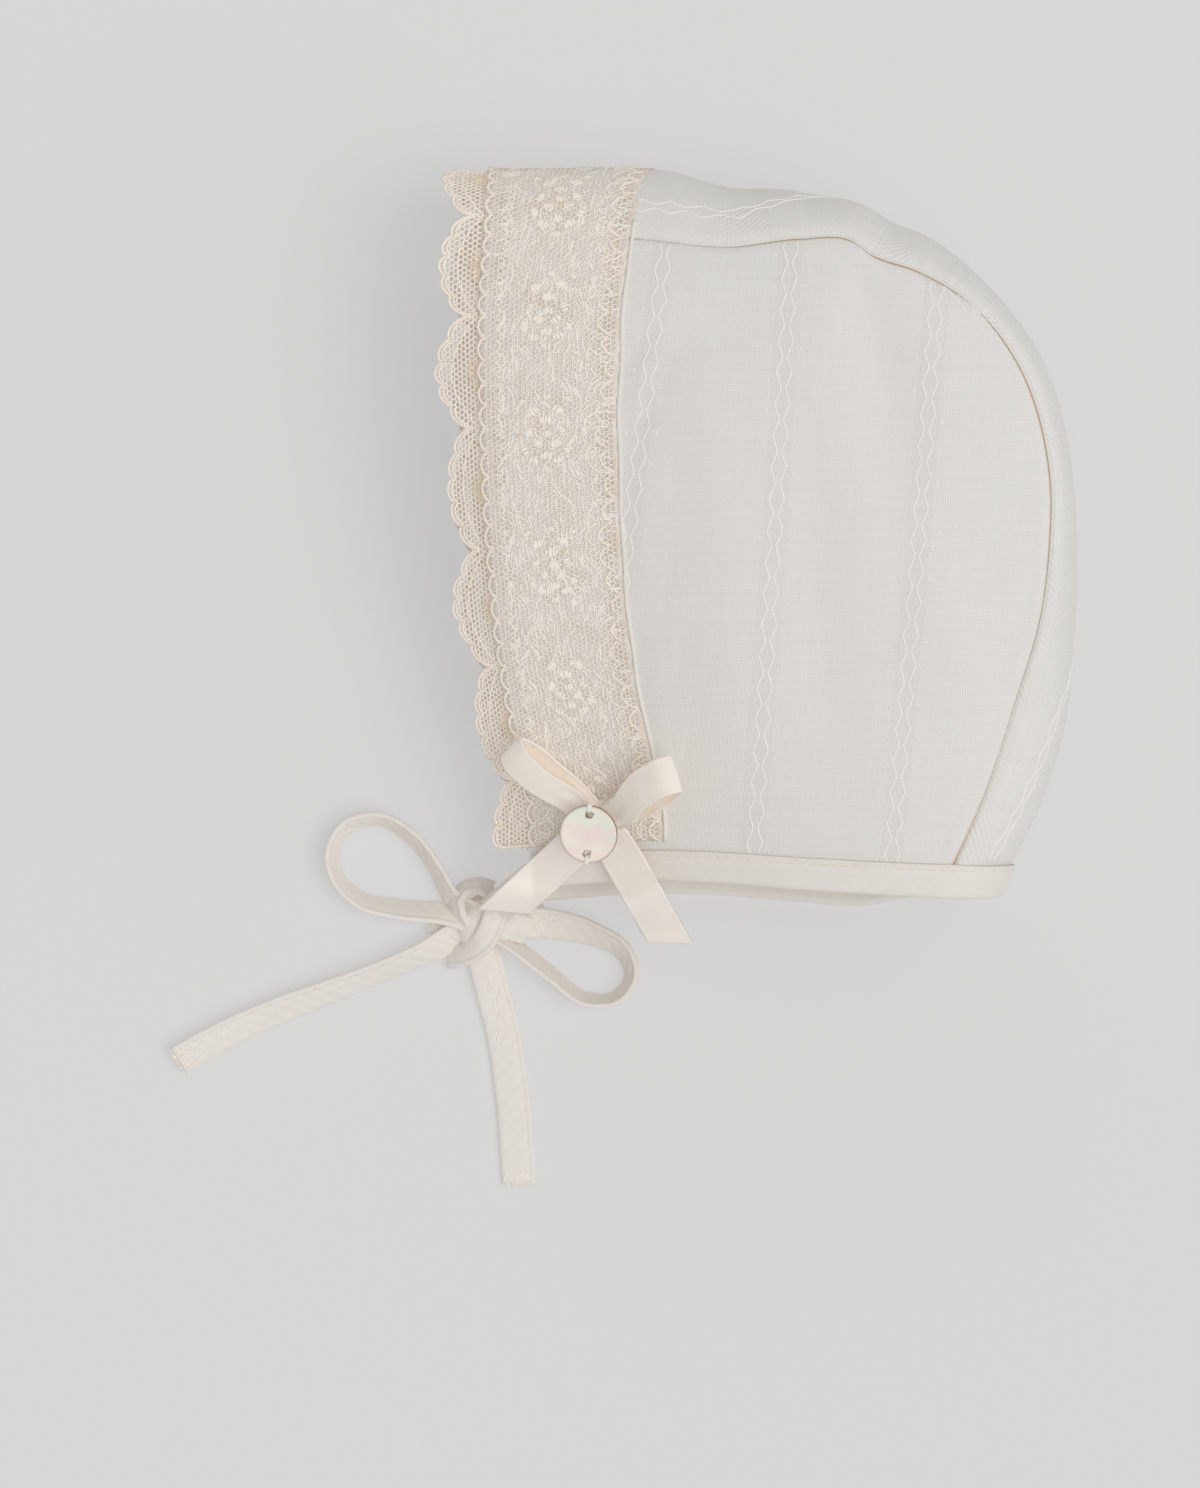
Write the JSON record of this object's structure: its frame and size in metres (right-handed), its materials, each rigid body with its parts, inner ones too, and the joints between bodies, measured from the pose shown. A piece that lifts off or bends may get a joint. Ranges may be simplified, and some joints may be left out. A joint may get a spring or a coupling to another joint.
{
  "type": "baby bonnet",
  "caption": "Cotton baby bonnet with a lace front, a scalloped lace edging, a bound neck, ties in a bow, and a ribbon bow with a shell button, lying on its side.",
  "frame": {"origin": "on the flat patch of the right panel that the bonnet rests on", "axes": "-X towards the wearer's face, +Y towards the top of the head, +Z from the wearer's right side up to the left side"},
  "size_m": [0.1874, 0.2116, 0.0676],
  "materials": {
    "cotton": "matt woven cotton, off-white",
    "lace": "matt cotton lace, ivory",
    "satin": "satin ribbon, cream",
    "shell": "polished mother-of-pearl"
  },
  "bodies": {
    "root": {"left_panel": "cotton", "right_panel": "cotton", "crown_strip": "cotton", "lace_band": "lace", "lace_edging": "lace", "neck_binding": "cotton", "ribbon_bow": "satin", "shell_button": "shell", "tie_knot": "cotton", "tie_lead_left": "cotton", "tie_lead_right": "cotton", "tie_loop_front": "cotton", "tie_loop_back": "cotton", "tie_end_front": "cotton", "tie_end_down": "cotton"}
  },
  "joints": []
}
